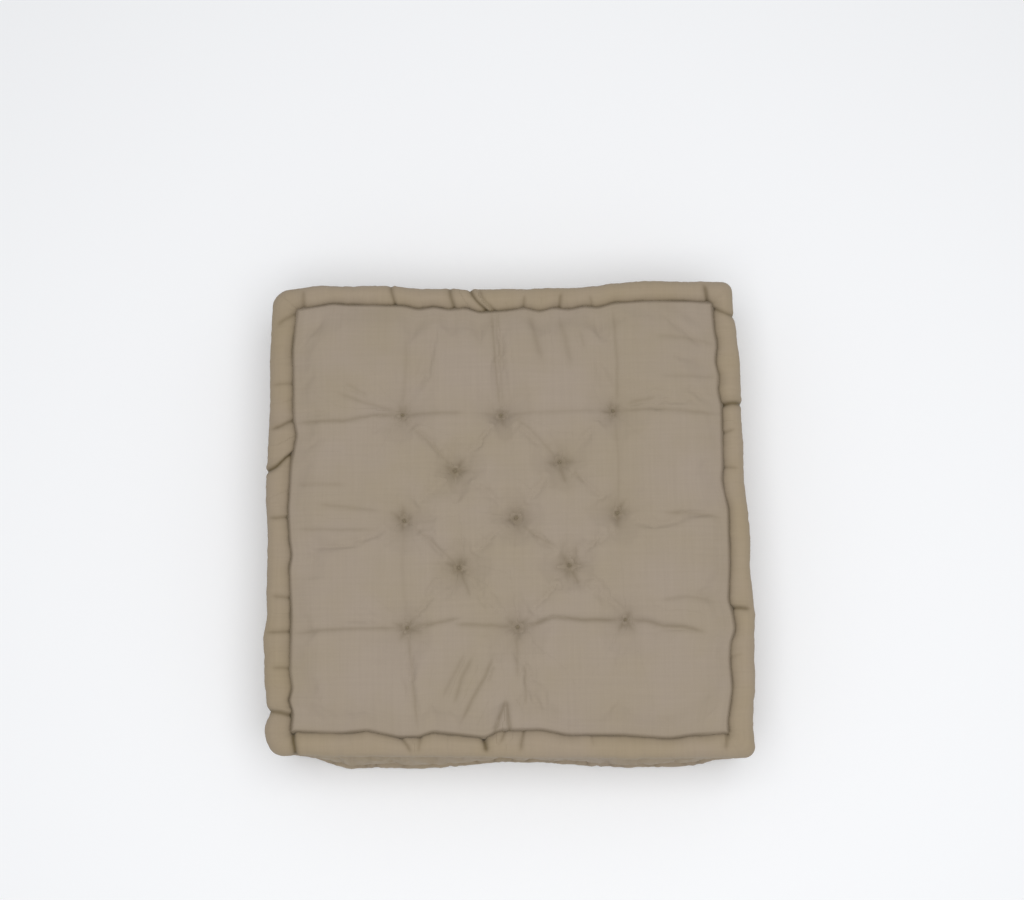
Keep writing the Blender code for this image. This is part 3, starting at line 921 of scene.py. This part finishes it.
class Nodes:
    """Short names for building a node tree."""

    def __init__(self, name):
        self.material = bpy.data.materials.new(name)
        self.material.use_nodes = True
        self.tree = self.material.node_tree
        self.surface = self.tree.nodes["Principled BSDF"]

    def add(self, kind, inputs=None, **settings):
        node = self.tree.nodes.new(kind)
        for key, value in settings.items():
            setattr(node, key, value)
        for key, value in (inputs or {}).items():
            if isinstance(value, bpy.types.NodeSocket):
                self.tree.links.new(value, node.inputs[key])
            else:
                node.inputs[key].default_value = value
        return node

    def maths(self, operation, a, b=0.0, c=0.0):
        return self.add("ShaderNodeMath", {0: a, 1: b, 2: c}, operation=operation).outputs[0]

    def noise(self, vector, scale, detail=2.0, roughness=0.5):
        inputs = {"Vector": vector, "Scale": scale, "Detail": detail, "Roughness": roughness}
        return self.add("ShaderNodeTexNoise", inputs).outputs["Fac"]

    def stretched(self, vector, scale):
        return self.add("ShaderNodeMapping", {"Vector": vector, "Scale": scale}).outputs[0]

    def between(self, value, low, high, new_low, new_high):
        inputs = {"Value": value, "From Min": low, "From Max": high, "To Min": new_low, "To Max": new_high}
        return self.add("ShaderNodeMapRange", inputs).outputs[0]

    def mix(self, share, a, b, kind="MIX"):
        node = self.add("ShaderNodeMix", data_type="RGBA", blend_type=kind)
        for socket, value in ((node.inputs[0], share), (node.inputs[6], a), (node.inputs[7], b)):
            if isinstance(value, bpy.types.NodeSocket):
                self.tree.links.new(value, socket)
            else:
                socket.default_value = value
        return node.outputs[2]

    def grey(self, value):
        return self.add("ShaderNodeCombineColor", {0: value, 1: value, 2: value}).outputs[0]

    def link(self, output, socket):
        self.tree.links.new(output, self.surface.inputs[socket])

    def set(self, values):
        for socket, value in values.items():
            self.surface.inputs[socket].default_value = value


def cotton(name, colour, warm, cool, fold):
    """Plain-woven cotton: crossed threads with slubs, faint streaks both ways, soft uneven dye, and painted
    shade: the cloth is mixed towards the dark fold colour where the shade and crease attributes say."""
    n = Nodes(name)
    cloth = n.add("ShaderNodeAttribute", attribute_name="cloth").outputs["Vector"]
    place = n.add("ShaderNodeTexCoord").outputs["Object"]
    lengthways = n.noise(n.stretched(cloth, (900, 14, 1)), 1.0, 2.0, 0.6)
    crossways = n.noise(n.stretched(cloth, (14, 900, 1)), 1.0, 2.0, 0.6)
    slub = n.noise(n.stretched(cloth, (260, 10, 1)), 1.0, 1.0)
    slub_across = n.noise(n.stretched(cloth, (10, 260, 1)), 1.0, 1.0)
    threads = n.maths("ADD", lengthways, crossways)
    slubs = n.maths("ADD", slub, slub_across)
    tone = n.maths("MULTIPLY_ADD", slubs, 0.5, n.maths("MULTIPLY", threads, 0.5))
    patches = n.between(n.noise(place, 9.0, 3.0, 0.55), 0.35, 0.65, 0.0, 1.0)
    tint = n.mix(patches, warm, cool)
    base = n.mix(0.5, tint, colour)
    streak = n.between(tone, 0.6, 1.4, 0.955, 1.045)
    base = n.mix(1.0, base, n.grey(streak), "MULTIPLY")
    # Painted shade: the shade attribute and a line down each crease mix in the fold colour.
    deep = n.add("ShaderNodeAttribute", attribute_name="shade").outputs["Fac"]
    crease = n.add("ShaderNodeAttribute", attribute_name="crease").outputs["Vector"]
    near = n.add("ShaderNodeSeparateXYZ", {0: crease})
    wobble = n.maths("MULTIPLY_ADD", n.noise(place, 60.0, 2.0), 1.2, -0.6)
    off = n.maths("ADD", near.outputs[0], wobble)
    square = n.maths("MULTIPLY", off, off)
    line = n.maths("MULTIPLY", n.maths("EXPONENT", n.maths("MULTIPLY", square, -1.1)), near.outputs[1])
    painted_shade_share = n.maths("MULTIPLY_ADD", line, 0.17, n.maths("MULTIPLY", deep, 0.85))
    n.link(n.mix(n.maths("MINIMUM", painted_shade_share, 0.92), base, fold), "Base Color")
    pitch = 2 * math.pi / 0.00062
    split = n.add("ShaderNodeSeparateXYZ", {0: cloth})
    over = n.maths("SINE", n.maths("MULTIPLY", split.outputs[0], pitch))
    under = n.maths("SINE", n.maths("MULTIPLY", split.outputs[1], pitch))
    height = n.maths("MULTIPLY_ADD", n.maths("MULTIPLY", over, under), 0.16, threads)
    height = n.maths("MULTIPLY_ADD", slubs, 0.7, height)
    height = n.maths("MULTIPLY_ADD", line, -1.2, height)
    bump = n.add("ShaderNodeBump", {"Height": height, "Strength": 0.5, "Distance": 0.00020})
    n.link(bump.outputs[0], "Normal")
    n.link(n.between(tone, 0.5, 1.5, 0.95, 0.84), "Roughness")
    n.set({"Sheen Weight": 0.10, "Sheen Roughness": 0.5, "Specular IOR Level": 0.15})
    return n.material


def thread(name, colour, dark, twist):
    """Spun thread or twine, with its turns across it."""
    n = Nodes(name)
    place = n.add("ShaderNodeTexCoord").outputs["Object"]
    inputs = {"Vector": place, "Scale": twist, "Distortion": 2.0}
    turns = n.add("ShaderNodeTexWave", inputs, bands_direction="DIAGONAL")
    n.link(n.mix(turns.outputs["Fac"], dark, colour), "Base Color")
    bump = n.add("ShaderNodeBump", {"Height": turns.outputs["Fac"], "Strength": 0.5, "Distance": 0.00015})
    n.link(bump.outputs[0], "Normal")
    n.set({"Roughness": 0.8, "Specular IOR Level": 0.2})
    return n.material


def wadding(name):
    """Loose cotton fibre, off-white and fluffy."""
    n = Nodes(name)
    place = n.add("ShaderNodeTexCoord").outputs["Object"]
    fibre = n.noise(place, 260.0, 6.0, 0.75)
    n.link(n.mix(fibre, linear(214, 207, 190), linear(240, 236, 226)), "Base Color")
    bump = n.add("ShaderNodeBump", {"Height": fibre, "Strength": 0.8, "Distance": 0.0015})
    n.link(bump.outputs[0], "Normal")
    n.set({"Roughness": 0.98, "Sheen Weight": 0.3})
    return n.material


# ---- Stage ----

def make_floor():
    n = Nodes("pale_floor")
    n.set({"Base Color": linear(247, 248, 250), "Roughness": 0.9, "Specular IOR Level": 0.1})
    reach = 8.0
    corners = np.array([(-reach, -reach, 0), (reach, -reach, 0), (reach, reach, 0), (-reach, reach, 0)])
    floor = new_mesh("floor", corners, np.array([[0, 1, 2, 3]]), n.material)


def area_light(name, place, aim, size, power):
    data = bpy.data.lights.new(name, "AREA")
    data.shape = "SQUARE"
    data.size = size
    data.energy = power
    lamp = new_object(name, data)
    lamp.location = place
    lamp.rotation_euler = (Vector(aim) - Vector(place)).to_track_quat("-Z", "Y").to_euler()


def make_lights():
    world = bpy.data.worlds.new("studio")
    world.use_nodes = True
    sky = world.node_tree.nodes["Background"]
    sky.inputs["Color"].default_value = (0.99, 0.995, 1.0, 1)
    sky.inputs["Strength"].default_value = SKY
    bpy.context.scene.world = world
    area_light("overhead softbox", SOFTBOX_PLACE, SOFTBOX_AIM, SOFTBOX_SIZE, SOFTBOX)


def make_camera():
    """Above the front edge, looking nearly straight down, turned a touch."""
    data = bpy.data.cameras.new("camera")
    data.lens = CAMERA_LENS
    data.sensor_width = 36
    camera = new_object("camera", data)
    turn = Matrix.Rotation(math.radians(CAMERA_TURN), 4, "Z")
    camera.location = turn @ Vector(CAMERA_PLACE)
    camera.rotation_euler = (math.radians(CAMERA_TILT), 0, math.radians(CAMERA_TURN))
    bpy.context.scene.camera = camera
    bpy.context.scene.view_settings.view_transform = "Standard"


# ---- The cushion ----

def uneven(seed, most):
    """A mildly uneven line for each side, where no particular shape is known."""
    lines = {}
    for k, side in enumerate(SIDES):
        values = np.random.default_rng(seed + k).uniform(-most, most, 19)
        lines[side] = list(zip(range(-270, 271, 30), values))
    return lines


# The dark olive colour that painted shade mixes into the cotton
painted_shade_colour = linear(92, 79, 52)
face_tones = linear(155, 142, 126), linear(153, 140, 119), linear(157, 144, 131)
# The rolls and walls take a copy of the same cotton, a touch more olive: painted shade
shaded_roll_tones = linear(156, 141, 120), linear(155, 140, 114), linear(157, 143, 127)
taupe = cotton("taupe_cotton", *face_tones, painted_shade_colour)
shaded_roll_taupe = cotton("taupe_cotton_roll_shaded", *shaded_roll_tones, painted_shade_colour)
cream = wadding("cream_wadding")
twine = thread("taupe_twine", linear(148, 135, 113), linear(126, 114, 92), 900)
sewing = thread("taupe_thread", linear(148, 136, 116), linear(118, 106, 86), 1400)

still = uneven(0, 0)
under_edges = uneven(5, 4)
top_tufts = [(x * MM, y * MM) for x, y in TUFTS]
under_tufts = [(x + 0.002, y - 0.002) for x, y in top_tufts]
top_creases = [([(x * MM, y * MM) for x, y in points], deep, wide) for points, deep, wide in CREASES]
under_pleats = {side: random_pleats(60 + k, 11) for k, side in enumerate(SIDES)}

top_cover = face_panel("top_cover", 1, top_tufts, top_creases, FACE_LINE, still, 11, taupe)
bottom_cover = face_panel("bottom_cover", -1, under_tufts, [], under_edges, LOWER_LINE, 91, taupe)
top_roll = rolled_edge("top_roll", 1, FACE_LINE, OUTER_LINE, still, PLEATS, 21, shaded_roll_taupe)
bottom_roll = rolled_edge("bottom_roll", -1, under_edges, still, LOWER_LINE, under_pleats, 31, shaded_roll_taupe)
walls = side_walls(shaded_roll_taupe)
core = filling(top_tufts, under_tufts, cream)
face_half, wall_half = GROOVE + 0.0002, WAIST + 0.0032
stitches = {}
for place, half, lift, edges, bury, thick in (
    ("top_face", face_half, THICK - FACE_ROW_LEVEL, FACE_LINE, (0, -0.0015), 0.0005),
    ("bottom_face", face_half, FACE_ROW_LEVEL, under_edges, (0, 0.0015), 0.0005),
    ("top_wall", wall_half, THICK - WALL_ROW_LEVEL, OUTER_LINE, (-0.0025, 0), 0.0008),
    ("bottom_wall", wall_half, WALL_ROW_LEVEL, LOWER_LINE, (-0.0025, 0), 0.0008),
):
    stitches[place] = running_stitches(f"{place}_stitches", half, lift, edges, bury, thick, sewing)
ties = [tuft_twine(k + 1, a, b, twine) for k, (a, b) in enumerate(zip(top_tufts, under_tufts))]

for cover, node in ((top_cover, "top_panel"), (bottom_cover, "bottom_panel")):
    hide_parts(node)
for level, roll in (("top", top_roll), ("bottom", bottom_roll)):
    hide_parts(*[f"{level}_roll_wadding_{side}" for side in SIDES], f"{level}_seam_thread")
corner_of = {"front": "front_right", "right": "back_right", "back": "back_left", "left": "front_left"}
for side, wall in walls.items():
    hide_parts(f"boxing_{side}", f"corner_seam_thread_{corner_of[side]}")
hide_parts("cotton_stuffing")
for place, row in stitches.items():
    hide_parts(f"{place}_stitching")
for k, tie in enumerate(ties):
    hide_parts(f"tuft_tie_{k + 1:02d}")
slots = {
    "cover_cotton": [top_cover, bottom_cover, top_roll, bottom_roll, *walls.values()],
    "cotton_wadding": [core],
    "tufting_twine": ties,
    "sewing_thread": list(stitches.values()),
}
for slot, pieces in slots.items():
    for piece in pieces:
        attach(piece, "root")

make_floor()
make_lights()
make_camera()
